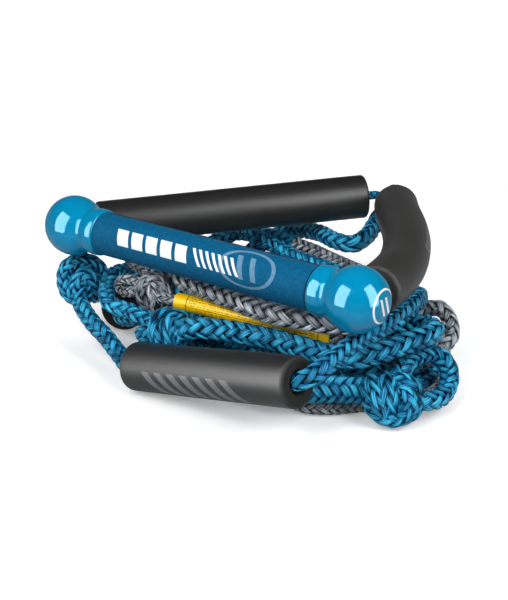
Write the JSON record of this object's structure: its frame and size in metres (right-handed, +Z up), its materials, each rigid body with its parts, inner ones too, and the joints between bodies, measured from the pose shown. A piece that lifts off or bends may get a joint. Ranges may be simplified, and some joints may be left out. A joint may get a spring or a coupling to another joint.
{
  "type": "tow rope handle",
  "caption": "Padded tow handle with bulb end caps, a foam-floated bridle and its braided line knotted, looped and laid in a flat coil.",
  "frame": {"origin": "centre of the bottom of the box round the handle and its floats, on the floor the coil lies on", "axes": "+X along the handle, from its left cap to its right cap; +Y away from the viewer, from the handle to the bridle knot; +Z up"},
  "size_m": [0.2841, 0.2643, 0.105],
  "materials": {
    "tube_metal": "drawn tube",
    "grip_foam_core": "foam",
    "grip_skin": "suede-like, printed with plain blocks",
    "bush_plastic": "moulded",
    "cap_blue": "polished",
    "float_foam": "closed-cell foam, soft sheen",
    "rope_blue": "braided",
    "rope_grey": "braided, slightly fuzzy",
    "sleeve_yellow": "printed sleeve"
  },
  "bodies": {
    "handle_and_rope": {"handle_tube": "tube_metal", "grip_foam": "grip_foam_core", "grip_wrap": "grip_skin", "tube_bush_left": "bush_plastic", "tube_bush_right": "bush_plastic", "end_cap_left": "cap_blue", "end_cap_right": "cap_blue", "float_right_leg": "float_foam", "float_coil": "float_foam", "bridle_rope": "rope_blue", "knot_bridle": "rope_blue", "rope_to_bridle": "rope_blue", "rope_back_blue": "rope_blue", "rope_back_grey": "rope_grey", "rope_back_splice": "rope_blue", "rope_line": "rope_blue", "knot_left": "rope_blue", "rope_left_tail": "rope_blue", "rope_left_loop": "rope_blue", "knot_grey": "rope_grey", "rope_grey_loop": "rope_grey", "rope_grey_tail": "rope_grey", "knot_front": "rope_blue", "rope_sleeved": "rope_grey", "label_sleeve": "sleeve_yellow", "rope_front_blue": "rope_blue", "rope_front_grey": "rope_grey", "rope_side_grey": "rope_grey", "knot_end": "rope_blue", "tow_loop": "rope_blue", "rope_end": "rope_blue", "rope_floor_grey": "rope_grey", "rope_coil": "rope_blue"},
    "line_float": {"float_line": "float_foam"},
    "left_leg_float": {"float_left_leg": "float_foam"}
  },
  "joints": [
    {"name": "line_float_spin", "type": "hinge", "parent": "handle_and_rope", "child": "line_float", "pos_m": [0.038, -0.10425, 0.03027], "axis": [0.9737, -0.066, 0.218], "continuous": true},
    {"name": "left_leg_float_spin", "type": "hinge", "parent": "handle_and_rope", "child": "left_leg_float", "pos_m": [-0.05795, 0.04435, 0.07325], "axis": [0.6851, 0.7271, 0.0446], "continuous": true}
  ]
}
